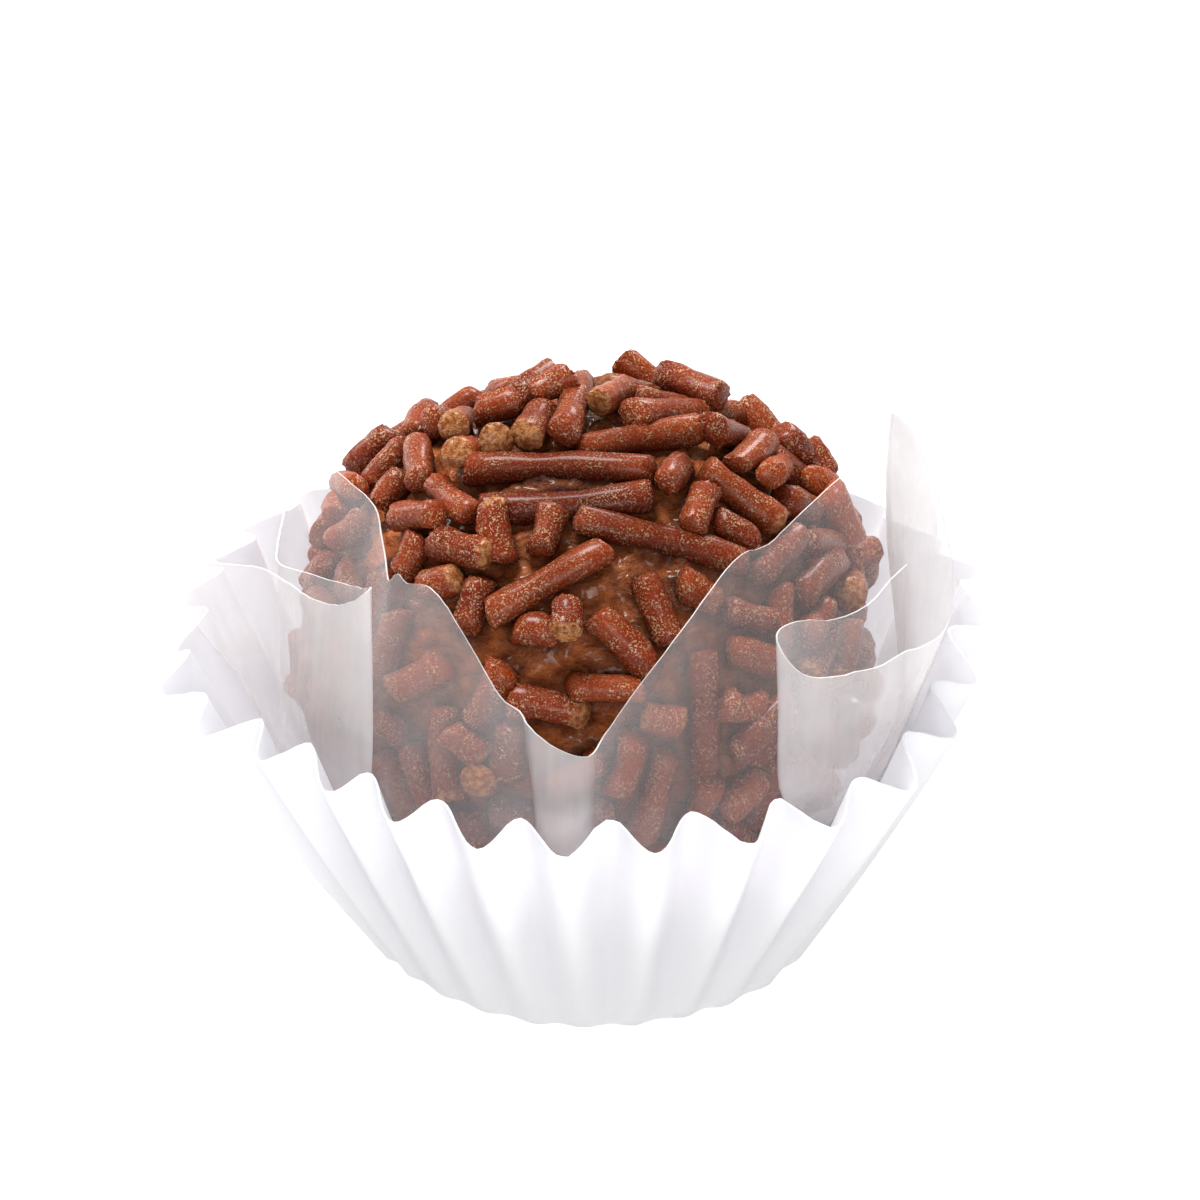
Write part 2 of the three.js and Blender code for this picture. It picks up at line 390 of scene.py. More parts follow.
@dataclass(frozen=True)
class SprinkleFinish:
    """Milk chocolate with a dusting of sugar, paler crumb where a sprinkle is broken, and painted shade
    where a sprinkle lies deep in the coat.
    """

    # Painted shade: the near-black colour given to the parts of the sprinkles that lie deep in the coat.
    painted_shade: tuple = (0.030, 0.001, 0.0002)
    deep: tuple = (0.120, 0.005, 0.0004)
    bright: tuple = (0.352, 0.051, 0.005)
    dust: tuple = (0.82, 0.52, 0.29)
    crumb: tuple = (0.62, 0.28, 0.11)
    crumb_shade: tuple = (0.32, 0.09, 0.02)

    def make(self) -> bpy.types.Material:
        """Build the material, which reads each sprinkle's tone, its cut ends and how deep it lies; the
        deep parts get painted shade and lose their coat.
        """
        recipe = Recipe("sprinkle_chocolate")
        tone = recipe.attribute("tone")
        cut = recipe.attribute("cut")
        lit = recipe.attribute("lit")
        clouds = recipe.grain(1.6, 3)
        pits = recipe.grain(0.30, 3, 0.6)
        grit = recipe.grain(0.13, 2, 0.7)
        specks = recipe.grain(0.18, 2, 0.5).between(0.59, 0.66)
        fine_specks = recipe.grain(0.10, 1, 0.4).between(0.54, 0.62)
        patches = recipe.grain(0.9, 3).between(0.40, 0.62)
        body = recipe.blend(clouds * 0.9 + tone * 0.6 - 0.25, self.deep, self.bright)
        dusted = (specks * 0.7 + fine_specks * 0.6) * (patches * 0.75 + 0.25)
        body = recipe.blend(dusted.clipped(0, 0.8), body, self.dust)
        crumbs = recipe.blend(pits.between(0.38, 0.62), self.crumb_shade, self.crumb)
        ragged = (cut + (pits - 0.5) * 0.9).between(0.35, 0.6)
        skin = recipe.blend(ragged, body, crumbs)
        relief = pits * 0.6 + grit * 0.35 + dusted * 0.6 + ragged * (grit - 0.5) * 1.2
        surface = recipe.shader(
            "BsdfPrincipled",
            {
                # Painted shade: where lit falls towards 0, deep in the coat, the colour turns to the
                # painted shade colour.
                "Base Color": recipe.blend(lit, self.painted_shade, skin),
                "Roughness": (0.36 + pits * 0.2 + dusted * 0.25 + ragged * 0.3).clipped(0.2, 0.95),
                "Normal": recipe.bump(relief, 0.2),
                "Specular IOR Level": 0.06,
                # Painted shade also takes the coat's reflection off the deep parts.
                "Coat Weight": (lit * 0.32 - dusted * 0.25).clipped(0, 1),
                "Coat Roughness": 0.22,
                "Coat Tint": (1.0, 0.94, 1.0, 1.0),
            },
        )
        return recipe.finish(surface)


@dataclass(frozen=True)
class FudgeFinish:
    """Soft, moist fudge, smeared where the sprinkles were pressed in, with painted shade close to the
    sprinkles.
    """

    # Painted shade: the dark colour the fudge is given where the sprinkles close it in.
    painted_shade: tuple = (0.022, 0.003, 0.0008)
    deep: tuple = (0.190, 0.030, 0.004)
    bright: tuple = (0.640, 0.200, 0.060)

    def make(self) -> bpy.types.Material:
        """Build the material, which reads how open each place is and paints shade where the sprinkles
        close it in.
        """
        recipe = Recipe("fudge")
        lit = recipe.attribute("open")
        smear = recipe.grain(0.9, 5, 0.62, (1.0, 1.0, 2.2))
        pores = recipe.grain(0.22, 3, 0.6)
        wet = recipe.grain(2.6, 2).between(0.40, 0.56)
        body = recipe.blend((smear * 1.7 - 0.4).clipped(0, 1), self.deep, self.bright)
        surface = recipe.shader(
            "BsdfPrincipled",
            {
                # Painted shade: places closed in by sprinkles turn to the painted shade colour and lose
                # their wet coat.
                "Base Color": recipe.blend(lit, self.painted_shade, body),
                "Roughness": (0.42 - wet * 0.24 + pores * 0.16).clipped(0.12, 0.9),
                "Normal": recipe.bump(smear * 0.9 + pores * 0.25, 0.6),
                "Coat Weight": (wet * lit * 0.8).clipped(0, 1),
                "Coat Roughness": 0.14,
                "Specular IOR Level": 0.12,
            },
        )
        return recipe.finish(surface)


@dataclass(frozen=True)
class FilmFinish:
    """Clear film with a milky haze where it is creased, rolled or turned away, and at its cut edge."""

    tint: tuple = (0.88, 0.85, 0.855)
    glow: tuple = (0.86, 0.84, 0.85)
    glow_share: float = 0.35
    rim: tuple = (0.84, 0.83, 0.81)
    haze: float = 0.04
    creased_haze: float = 0.44
    turning_haze: float = 0.26

    def make(self) -> bpy.types.Material:
        """Build the film's two faces, which read how milky each stretch is."""
        recipe = Recipe("clear_film")
        milk = recipe.attribute("milk")
        clouds = recipe.grain(4.5, 3)
        streaks = recipe.grain(1.4, 3, 0.6, (1.0, 1.0, 0.1))
        scuffs = recipe.dots(0.9, 0.05)
        turning = recipe.value("ShaderNodeLayerWeight", {"Blend": 0.3}, "Facing")
        amount = self.haze + milk**1.6 * self.creased_haze + turning**3 * self.turning_haze * (milk + 0.15)
        amount = amount * (0.36 + clouds * 0.7 + streaks * 0.6) + scuffs * 0.18
        surface = recipe.shader(
            "BsdfPrincipled",
            {
                "Base Color": (*self.tint, 1.0),
                "Roughness": 0.24,
                "Specular IOR Level": 0.9,
                "Normal": recipe.bump(streaks * 0.5 + clouds, 0.12),
            },
        )
        through = recipe.shader("BsdfTranslucent", {"Color": (*self.glow, 1.0)})
        body = recipe.layered(self.glow_share, surface, through)
        clear = recipe.shader("BsdfTransparent")
        return recipe.finish(recipe.layered(amount.clipped(0.02, 0.9), clear, body))

    def make_rim(self) -> bpy.types.Material:
        """Build the cut edge, which catches the light."""
        recipe = Recipe("clear_film_rim")
        frost = recipe.grain(0.5, 2)
        surface = recipe.shader(
            "BsdfPrincipled",
            {
                "Base Color": recipe.blend(frost, self.tint, self.rim),
                "Roughness": 0.35,
                "Normal": recipe.bump(frost, 0.03),
            },
        )
        clear = recipe.shader("BsdfTransparent")
        amount = (0.32 + frost * 0.6).clipped(0.25, 0.9)
        return recipe.finish(recipe.layered(amount, clear, surface))


@dataclass(frozen=True)
class PaperFinish:
    """Thin white greaseproof paper with a faint fibre, and painted lavender shade in its inner folds."""

    white: tuple = (0.95, 0.95, 0.955)
    # Painted shade: the lavender grey that the inner folds are painted.
    fold: tuple = (0.91, 0.905, 0.935)
    glow: tuple = (0.94, 0.94, 0.97)
    glow_share: float = 0.45

    def make(self) -> bpy.types.Material:
        """Build the material, which reads how deep in a fold each point lies and paints lavender shade
        there.
        """
        recipe = Recipe("white_paper")
        fold = recipe.attribute("fold")
        fibre = recipe.grain(0.35, 4, 0.65, (1.0, 1.0, 0.5))
        mottle = recipe.grain(2.4, 3)
        # Painted shade in the inner folds, broken up by a random mottle.
        shade = (fold * 0.75 + (mottle - 0.5) * 0.6).clipped(0, 1)
        surface = recipe.shader(
            "BsdfPrincipled",
            {
                "Base Color": recipe.blend(shade, self.white, self.fold),
                "Roughness": (0.62 + fibre * 0.2).clipped(0.5, 0.9),
                "Normal": recipe.bump(fibre * 0.6 + mottle * 0.9, 0.09),
                "Specular IOR Level": 0.3,
            },
        )
        through = recipe.shader("BsdfTranslucent", {"Color": (*self.glow, 1.0)})
        return recipe.finish(recipe.layered(self.glow_share, surface, through))


# ---------------------------------------------------------------- the paper case


@dataclass
class PaperCase:
    """The fluted paper case: a flat floor and a flared wall in pleats.

    The rim runs through folds, inner and outer in turn. Their turns and radii are about the ball's
    axis, because the rim stands round the ball.
    """

    base_radius: float = 12.8
    floor_radius: float = 11.9
    thickness: float = 0.12
    lean: float = -0.6
    inner_height: float = 18.4
    outer_height: float = 17.2
    points_per_flute: int = 14
    rows: int = 16
    outer_folds: tuple = (
        (-177, 22.6), (-166, 24.0), (-153.5, 23.4), (-143.5, 21.8), (-130, 21.2),
        (-117.5, 21.7), (-104, 22.7), (-92.5, 22.8), (-80, 22.9), (-67, 23.2),
        (-56, 24.0), (-42, 23.9), (-27, 22.8), (-12, 22.2), (5, 22.8),
        (17, 24.3),
    )
    inner_folds: tuple = (
        (-171, 21.9), (-158.5, 22.1), (-148.5, 20.4), (-138, 19.7), (-125, 19.8),
        (-112, 20.3), (-99, 21.0), (-86, 21.0), (-74, 21.0), (-61.5, 21.5),
        (-49, 22.3), (-35, 21.2), (-19.5, 20.3), (-3, 20.2), (11.5, 21.6),
    )
    flute_count: int = 29
    back_radii: tuple = (20.7, 23.2)
    back_sway: float = 0.18
    back_unevenness: float = 0.3
    belly: float = 0.25
    pleat_at_foot: float = 0.16
    pleat_growth: float = 1.25
    row_crowding: float = 1.1
    rim_waver: float = 0.12
    wavers_round: float = 500.0
    crumple: float = 0.16
    crumples_round: float = 7.0
    crumples_up: float = 3.5
    flat_share: float = 0.4
    seed: int = 5
    turns: np.ndarray = field(init=False)
    radii: np.ndarray = field(init=False)
    means: np.ndarray = field(init=False)

    def __post_init__(self) -> None:
        """List the rim's folds all round, the ones at the back evenly but not exactly."""
        random = np.random.default_rng(self.seed)
        last = self.outer_folds[-1][0]
        steps = 2 * (self.flute_count - len(self.inner_folds))
        spacing = (self.outer_folds[0][0] + 360 - last) / steps
        rim = sorted(self.outer_folds + self.inner_folds)
        for step in range(1, steps):
            turn = last + (step + random.uniform(-self.back_sway, self.back_sway)) * spacing
            uneven = random.uniform(-self.back_unevenness, self.back_unevenness)
            rim.append((turn, self.back_radii[1 - step % 2] + uneven))
        rim.append((rim[0][0] + 360, rim[0][1]))
        self.turns, self.radii = np.array(rim).T
        ring = self.radii[:-1]
        mean = (np.roll(ring, 1) + 2 * ring + np.roll(ring, -1)) / 4
        mean = (np.roll(mean, 2) + mean + np.roll(mean, -2)) / 3
        self.means = np.append(mean, mean[0])

    def wave(self, turn: float) -> tuple[float, float, float]:
        """Find the pleat at a turn.

        Args:
            turn: Degrees from +X.

        Returns:
            The rim's radius, its radius without the pleats, and how far out the pleat is, from 0 to 1.
        """
        turned = (turn - self.turns[0]) % 360 + self.turns[0]
        fold = min(int(np.searchsorted(self.turns, turned, side="right")) - 1, len(self.turns) - 2)
        share = (turned - self.turns[fold]) / (self.turns[fold + 1] - self.turns[fold])
        eased = 0.5 - 0.5 * math.cos(math.pi * share)
        radius = self.radii[fold] + (self.radii[fold + 1] - self.radii[fold]) * eased
        mean = self.means[fold] + (self.means[fold + 1] - self.means[fold]) * share
        return radius, mean, eased if fold % 2 else 1 - eased

    def place(self, share: float, row: int) -> Vector:
        """Find a point of the sheet.

        Args:
            share: How far round, from 0 to 1.
            row: 0 at the floor's rim, then up the wall.

        Returns:
            The point, in millimetres.
        """
        turn = share * 360
        if row == 0:
            return polar(turn, self.floor_radius, self.thickness / 2)
        rise = ((row - 1) / (self.rows - 1)) ** self.row_crowding
        rim, mean, outward = self.wave(turn)
        depth = self.pleat_at_foot + (1 - self.pleat_at_foot) * rise**self.pleat_growth
        radius = self.base_radius + (mean - self.base_radius) * rise
        radius += self.belly * math.sin(math.pi * rise) + (rim - mean) * depth
        top = self.inner_height + (self.outer_height - self.inner_height) * outward
        height = self.thickness / 2 + (top - self.thickness / 2) * rise
        if row == self.rows:
            height += self.rim_waver * noise.noise(Vector((share * self.wavers_round, 0, 3)))
        crease = polar(turn, self.crumples_round, rise * self.crumples_up)
        radius += self.crumple * rise * noise.noise(crease)
        return polar(turn, radius, height, self.lean * rise)

    def build(self) -> bpy.types.Object:
        """Model the case and dress it.

        Returns:
            The finished piece.
        """
        columns = self.flute_count * self.points_per_flute
        case = cup_blank("fluted_case", columns, self.rows)
        shape_cup(case, self.place, Vector((0, 0, self.thickness / 2)))
        # Painted shade: 1 at the inner folds and 0 at the outer ones, fading out towards the floor; the
        # paper is painted lavender grey there.
        folds = case.data.attributes.new("fold", "FLOAT", "POINT")
        for index, (x, y, z) in enumerate(corners(case)):
            rise = z / self.inner_height
            outward = self.wave(math.degrees(math.atan2(y, x - self.lean * rise)))[2]
            folds.data[index].value = (1 - outward) * min(1.0, rise / self.flat_share)
        apply_modifier(case, "SOLIDIFY", thickness=self.thickness * MM, offset=0.0)
        smooth(case, 60)
        case.data.materials.append(PaperFinish().make())
        return case


# ---------------------------------------------------------------- the film wrapper


class Rib(NamedTuple):
    """One line up the film, from the ball's side to the cut edge. Turns are about the ball's axis."""

    foot: float
    waist_turn: float
    waist_radius: float
    edge_turn: float
    edge_radius: float
    edge_height: float
    milk: float
    hip: tuple | None = None


def upright(turn: float, waist: float, edge: float, height: float, milk: float = 0.05) -> Rib:
    """Make a rib that climbs without turning, from its radii at the waist and at the cut edge."""
    return Rib(turn, turn, waist, turn, edge, height, milk)


@dataclass
class BallOutline:
    """The outline of the rolled ball, over its sprinkles."""

    axis: float = -0.6
    radius: float = 16.9
    half_height: float = 16.2
    middle: float = 16.2
    lower_squeeze: float = 0.97
    squeeze_onset: float = 3.0

    def centre(self) -> np.ndarray:
        """Give the ball's middle point."""
        return np.array((self.axis, 0, self.middle))

    def flatness(self) -> float:
        """Give the ball's height as a share of its width."""
        return self.half_height / self.radius

    def radius_at(self, height: float) -> float:
        """Find the outline's radius at a height over the floor."""
        level = max(-1.0, min(1.0, (height - self.middle) / self.half_height))
        squeeze = 1.0
        if level < 0:
            squeeze += (self.lower_squeeze - 1) * min(1.0, -self.squeeze_onset * level)
        return self.radius * squeeze * math.sqrt(1 - level * level)


TUCK = (
    Rib(-99, -99.0, 17.4, -101.0, 17.3, 22.7, 0.55),
    Rib(-97, -97.3, 18.5, -98.6, 18.4, 22.4, 0.8),
    Rib(-93.5, -93.2, 19.0, -94.0, 18.9, 21.5, 0.85),
    Rib(-90, -89.2, 18.5, -89.0, 18.3, 20.7, 0.85),
    Rib(-88, -87.2, 17.4, -86.0, 17.2, 21.4, 0.6),
)
FRONT_RIGHT_PETAL = (
    Rib(-84, -83, 17.6, -81, 16.7, 23.3, 0.42),
    Rib(-80, -76, 17.7, -72, 15.6, 25.9, 0.36),
    Rib(-75, -68, 17.8, -62, 14.6, 27.7, 0.3),
    Rib(-70, -60, 17.9, -52, 13.8, 28.8, 0.3),
    Rib(-66, -52, 17.9, -44, 13.7, 28.7, 0.3),
    Rib(-62, -43, 17.9, -36, 14.1, 29.5, 0.28),
    Rib(-58, -34, 17.9, -22, 14.8, 30.6, 0.28),
    Rib(-55, -27, 18.0, -14.5, 16.5, 30.4, 0.3),
    Rib(-52, -21, 18.2, -12.5, 18.8, 28.8, 0.35),
    Rib(-50, -18, 18.5, -11.5, 19.4, 26.6, 0.4),
)
RIGHT_PLEAT_RETURN = (
    Rib(-48, -21, 18.6, -16, 19.2, 26.1, 0.4),
    Rib(-47, -26, 18.6, -23, 18.7, 25.6, 0.35),
    Rib(-45, -33, 18.6, -31, 18.2, 25.3, 0.32),
    Rib(-43, -41, 18.5, -41, 17.9, 25.3, 0.35),
    Rib(-41, -48.5, 18.4, -48.5, 17.8, 26.2, 0.45),
    Rib(-39, -53.5, 18.4, -54, 18.0, 26.3, 0.6),
)
RIGHT_PLEAT_LIP = (
    Rib(-38, -55.6, 18.8, -55.6, 18.6, 25.7, 0.8),
    Rib(-37, -53.5, 19.4, -53.5, 19.6, 24.3, 0.72),
    Rib(-35, -47.5, 19.7, -48.0, 20.1, 23.7, 0.7),
    Rib(-33, -41, 19.8, -40.6, 20.6, 23.3, 0.72),
    Rib(-30.5, -36, 19.8, -35.5, 21.0, 23.6, 0.75),
    Rib(-28, -32, 19.8, -32, 21.5, 23.5, 0.8),
    Rib(-25.5, -28.5, 19.8, -27.8, 22.0, 24.0, 0.85),
)
BLADE = (
    Rib(-23, -26, 19.6, -25.4, 21.9, 26.6, 0.95),
    Rib(-20.5, -24, 19.2, -22.7, 20.6, 30.5, 1),
    Rib(-18, -21, 18.7, -19, 18.6, 34.0, 0.95),
    Rib(-15, -16, 18.2, -17.5, 17.3, 34.4, 0.9, (-10, 16.9, 25)),
)
RIGHT_PETAL = (
    Rib(-12, -12, 18.6, -14, 20.0, 34.0, 0.45, (-8, 18.6, 26)),
    Rib(-8, -8, 18.8, -9, 24.5, 32.5, 0.18),
    Rib(-4, -4, 18.8, -4.5, 28.0, 32.8, 0.08),
    upright(0, 18.7, 28.9, 34.0, 0.06),
    Rib(6, 6, 18.6, 7, 28.0, 34.6, 0.05),
    upright(13, 18.5, 25.9, 34.6),
    upright(22, 18.4, 21.9, 34.5),
    upright(30, 18.3, 18.9, 33.0),
    upright(37, 18.2, 17.9, 28.0),
    upright(41, 18.1, 17.6, 25.0),
)
BACK_PETAL = (
    upright(44, 18.1, 17.9, 27.5),
    Rib(48, 48, 18.2, 47.5, 19.3, 32.5, 0.05),
    upright(55, 18.2, 19.5, 35.2),
    upright(66, 18.2, 19.8, 36.4),
    upright(80, 18.2, 20.1, 36.5),
    upright(93, 18.2, 20.2, 36.3),
    upright(104, 18.3, 20.9, 36.3),
    Rib(112, 112, 18.4, 112.5, 22.4, 36.1, 0.05),
    upright(117, 18.3, 20.6, 33.0),
    upright(121.5, 18.2, 18.6, 28.3),
)
LEFT_PETAL = (
    upright(126, 18.2, 19.3, 32.0),
    upright(131, 18.3, 20.4, 35.0),
    upright(140, 18.3, 22.1, 36.3),
    upright(150, 18.4, 23.5, 36.5),
    upright(160, 18.5, 24.0, 35.7, 0.06),
    upright(167, 18.5, 24.6, 34.4, 0.1),
    Rib(172, 172, 18.6, 171.5, 27.6, 33.9, 0.3),
    Rib(176, 176, 18.7, 175.5, 28.2, 33.0, 0.35),
    Rib(181, 181, 18.8, 180, 26.2, 32.0, 0.4),
    Rib(186, 186, 18.9, 185, 24.6, 29.5, 0.45),
    upright(190, 19.2, 25.4, 26.0, 0.45),
    Rib(194, 195, 19.0, 194.5, 23.2, 26.0, 0.35),
    Rib(198, 199, 18.8, 199, 20.6, 25.9, 0.45),
    Rib(202, 204, 18.5, 203, 18.6, 26.0, 0.6),
)
LEFT_PLEAT = (
    Rib(205, 208, 18.4, 208, 17.6, 25.5, 0.7),
    Rib(208, 213, 18.3, 213, 17.4, 25.4, 0.75),
    Rib(211, 219, 18.2, 220, 17.4, 25.9, 0.75),
    Rib(214, 225, 18.0, 224.5, 17.0, 26.6, 0.8),
    Rib(216, 230.2, 17.7, 227.2, 16.3, 27.5, 0.8),
    Rib(218, 226, 17.5, 222, 15.9, 26.6, 0.55),
    Rib(220, 219, 17.4, 215, 16.1, 26.2, 0.4),
    Rib(222, 212, 17.4, 208.6, 16.7, 26.1, 0.35),
    Rib(224, 205, 17.5, 200.5, 17.3, 25.5, 0.4),
    Rib(226, 201, 17.5, 197, 17.2, 26.0, 0.5),
)
LEFT_LOBE = (
    Rib(228, 203, 17.1, 188, 16.2, 27.6, 0.3),
    Rib(229, 208, 17.0, 185, 14.8, 28.9, 0.3),
    Rib(231, 213, 17.0, 192, 13.6, 29.4, 0.35),
    Rib(233, 218, 17.0, 201, 13.0, 29.3, 0.42),
    Rib(235, 222, 17.0, 210, 12.9, 28.8, 0.5),
    Rib(237, 226, 17.0, 217, 13.6, 27.9, 0.6),
    Rib(239, 229.5, 17.1, 224.5, 14.6, 26.9, 0.6),
)
FRONT_LEFT_PETAL = (
    Rib(241, 232.5, 17.2, 227, 14.5, 27.5, 0.5),
    Rib(243, 235.5, 17.3, 230, 14.5, 27.2, 0.45),
    Rib(245.5, 239, 17.4, 235.5, 14.6, 27.6, 0.42),
    Rib(248, 243, 17.4, 240, 14.9, 27.3, 0.42),
    Rib(251, 247, 17.4, 244, 15.3, 26.5, 0.42),
    Rib(254, 251.5, 17.4, 249.5, 16.0, 24.8, 0.45),
    Rib(257, 256, 17.4, 255, 16.9, 23.2, 0.5),
)


@dataclass
class FilmWrapper:
    """The clear film: a bowl under the ball that opens into petals and is pleated at both sides."""

    ball: BallOutline
    floor_radius: float = 5.5
    floor_height: float = 0.45
    thickness: float = 0.09
    gap: float = 0.45
    shoulder_height: float = 12.5
    waist_height: float = 17.0
    tight_waist: float = 17.4
    bowl_heights: tuple = (2.2, 5.0, 8.5)
    steps_per_rib: int = 4
    rows_per_level: int = 5
    still_levels: int = 4
    ripple: float = 0.45
    ripples_across: float = 0.28
    ripples_up: float = 0.10
    deckle: float = 0.07
    deckle_pace: float = 0.9
    ribs: tuple = (
        TUCK
        + FRONT_RIGHT_PETAL
        + RIGHT_PLEAT_RETURN
        + RIGHT_PLEAT_LIP
        + BLADE
        + RIGHT_PETAL
        + BACK_PETAL
        + LEFT_PETAL
        + LEFT_PLEAT
        + LEFT_LOBE
        + FRONT_LEFT_PETAL
    )

    def levels(self, rib: Rib) -> list[Vector]:
        """List the points that a rib runs through.

        Args:
            rib: A line up the film.

        Returns:
            The points, from the floor up to the cut edge.
        """
        axis = self.ball.axis
        floor = [polar(rib.foot, self.floor_radius, self.floor_height, axis)]
        bowl = [polar(rib.foot, self.ball.radius_at(h) + self.gap, h, axis) for h in self.bowl_heights]
        spread = 0.5 * (rib.waist_radius - self.tight_waist)
        radius = self.ball.radius_at(self.shoulder_height) + self.gap + spread
        shoulder = polar(0.5 * (rib.foot + rib.waist_turn), radius, self.shoulder_height, axis)
        waist = polar(rib.waist_turn, rib.waist_radius, self.waist_height, axis)
        edge = polar(rib.edge_turn, rib.edge_radius, rib.edge_height, axis)
        hip = polar(*rib.hip, axis) if rib.hip else (waist + edge) * 0.5
        return [*floor, *bowl, shoulder, waist, hip, edge]

    def net(self) -> list[list[Vector]]:
        """Work out every point of the sheet.

        Returns:
            A list of rows for each column.
        """
        frame = [self.levels(rib) for rib in self.ribs]
        count = len(frame)
        net = []
        for column in range(count * self.steps_per_rib):
            index, step = divmod(column, self.steps_per_rib)
            share = step / self.steps_per_rib
            around = [frame[(index + shift) % count] for shift in (-1, 0, 1, 2)]
            spine = [catmull_rom(*points, share) for points in zip(*around)]
            net.append(self.rows_of(spine))
        return net

    def rows_of(self, spine: list[Vector]) -> list[Vector]:
        """Fill in a column between its levels.

        Args:
            spine: The column's points at the levels.

        Returns:
            The column's points, one for each row.
        """
        padded = [2 * spine[0] - spine[1], *spine, 2 * spine[-1] - spine[-2]]
        rows = []
        for level in range(len(spine) - 1):
            for step in range(self.rows_per_level):
                share = step / self.rows_per_level
                rows.append(catmull_rom(*padded[level : level + 4], share))
        return [*rows, spine[-1]]

    def build(self) -> bpy.types.Object:
        """Model the film and dress it.

        Returns:
            The finished piece.
        """
        net = self.net()
        columns = len(net)
        rows = len(net[0])
        film = cup_blank("film_petals", columns, rows - 1)
        still_rows = self.still_levels * self.rows_per_level

        def place(share: float, row: int) -> Vector:
            """Find a point of the sheet by its turn and row."""
            column = round(share * columns) % columns
            point = net[column][row].copy()
            rising = max(0.0, (row - still_rows) / (rows - 1 - still_rows))
            across = self.ripples_across
            wave = noise.noise(Vector((point.x * across, point.y * across, point.z * self.ripples_up)))
            point += Vector((point.x, point.y, 0)).normalized() * wave * self.ripple * rising
            if row == rows - 1:
                point.z += self.deckle * noise.noise(Vector((column * self.deckle_pace, 0, 0)))
            return point

        haze = film.data.attributes.new("milk", "FLOAT", "POINT")
        for index, (x, y, _) in enumerate(corners(film)):
            column = round(math.atan2(y, x) / math.tau * columns) % columns
            rib, step = divmod(column, self.steps_per_rib)
            here, following = self.ribs[rib].milk, self.ribs[(rib + 1) % len(self.ribs)].milk
            haze.data[index].value = here + (following - here) * step / self.steps_per_rib
        shape_cup(film, place, Vector((self.ball.axis, 0, self.floor_height)))
        film.data.materials.append(FilmFinish().make())
        film.data.materials.append(FilmFinish().make_rim())
        apply_modifier(film, "SOLIDIFY", thickness=self.thickness * MM, offset=0.0, material_offset_rim=1)
        smooth(film, 70)
        return film


# ---------------------------------------------------------------- sprinkles and fudge


class Break(Enum):
    """Which ends of a sprinkle are broken open and show the pale crumb."""

    NONE = (0.12, 0.12)
    START = (1.0, 0.12)
    END = (0.12, 1.0)
    BOTH = (1.0, 1.0)


class Lay(NamedTuple):
    """A listed sprinkle: the turn and rise of its two ends, and how proud it lies.

    A tip over 0 stands its end up out of the fudge and sinks its start.
    """

    start: tuple[float, float]
    end: tuple[float, float]
    proud: float = 0.3
    broken: Break = Break.NONE
    bow: float = 0.0
    tip: float = 0.0


FRONT_LAYS = (
    Lay((-91, 60), (-41, 43)),
    Lay((-113, 38), (-83, 53), 0.4),
    Lay((-90, 80), (4, 67), 0.2, tip=0.3),
    Lay((-130, 59), (-59, 64), 0.2, bow=-0.1),
    Lay((-151, 64), (-51, 69), 0.4, bow=0.15),
    Lay((-124, 59), (-115, 50), 0.6, Break.START, tip=-0.5),
    Lay((-103, 62), (-104, 53), 0.2),
    Lay((-106, 36), (-97, 36), 0.0),
    Lay((-94, 41), (-94, 36), 0.9, Break.END, tip=0.5),
    Lay((-86, 39), (-75, 28), 0.1),
    Lay((-72, 46), (-69, 33), 0.0),
    Lay((-61, 44), (-54, 38), 0.0),
    Lay((-92, 25), (-78, 24), 0.0),
    Lay((-105, 21), (-90, 19), 0.0, Break.END),
    Lay((-119, 44), (-119, 34), 0.0),
    Lay((-138, 48), (-119, 49), 0.5, Break.END, tip=0.2),
    Lay((-26, 67), (-50, 64), 0.3, tip=0.6),
    Lay((-35, 59), (-50, 54), 0.4),
    Lay((-23, 62), (-19, 44), 0.2, Break.END),
    Lay((-38, 53), (-32, 45), 0.0),
)
TOP_LAYS = (
    Lay((60, 74), (10, 87), 0.8, Break.END, tip=0.4),
    Lay((178, 72), (-150, 71), 0.4, Break.END, tip=0.8),
    Lay((150, 81), (-140, 76), 0.6, Break.END, tip=0.4),
    Lay((92, 74), (-112, 81), 0.8, tip=0.2),
    Lay((148, 60), (179, 65), 0.5, Break.END, tip=0.6),
    Lay((141, 51), (159, 57), 0.3, tip=0.5),
    Lay((143, 48), (158, 51), 0.8, tip=-0.3),
    Lay((-168, 67), (-156, 64), 0.4, Break.END, tip=0.6),
    Lay((150, 75), (160, 68), 0.7),
    Lay((131, 74), (134, 65), 0.8, tip=-0.2),
    Lay((149, 75), (115, 73), 1.1),
    Lay((110, 81), (142, 79), 1.0, tip=0.1),
    Lay((48, 73), (44, 53), 0.2, bow=-0.2),
    Lay((-6, 80), (36, 50), 0.8, bow=-0.2),
    Lay((60, 58), (28, 60), 1.3, tip=0.1),
)
LEFT_LAYS = (
    Lay((-155, 57), (-132, 56), 0.6, tip=0.1),
    Lay((-158, 47), (-141, 52), 0.8, tip=0.5),
    Lay((172, 55), (-162, 55), 0.7, tip=0.1),
    Lay((-176, 51), (-171, 45), 0.3),
    Lay((161, 49), (171, 41), 0.3),
    Lay((-146, 46), (-144, 39), 0.1),
    Lay((-136, 39), (-126, 43), 0.2, Break.END, tip=0.1),
    Lay((178, 41), (163, 33), 1.2),
    Lay((170, 32), (177, 33), 0.8),
    Lay((162, 23), (172, 25), 0.5),
    Lay((-171, 39), (-176, 32), 0.4),
)
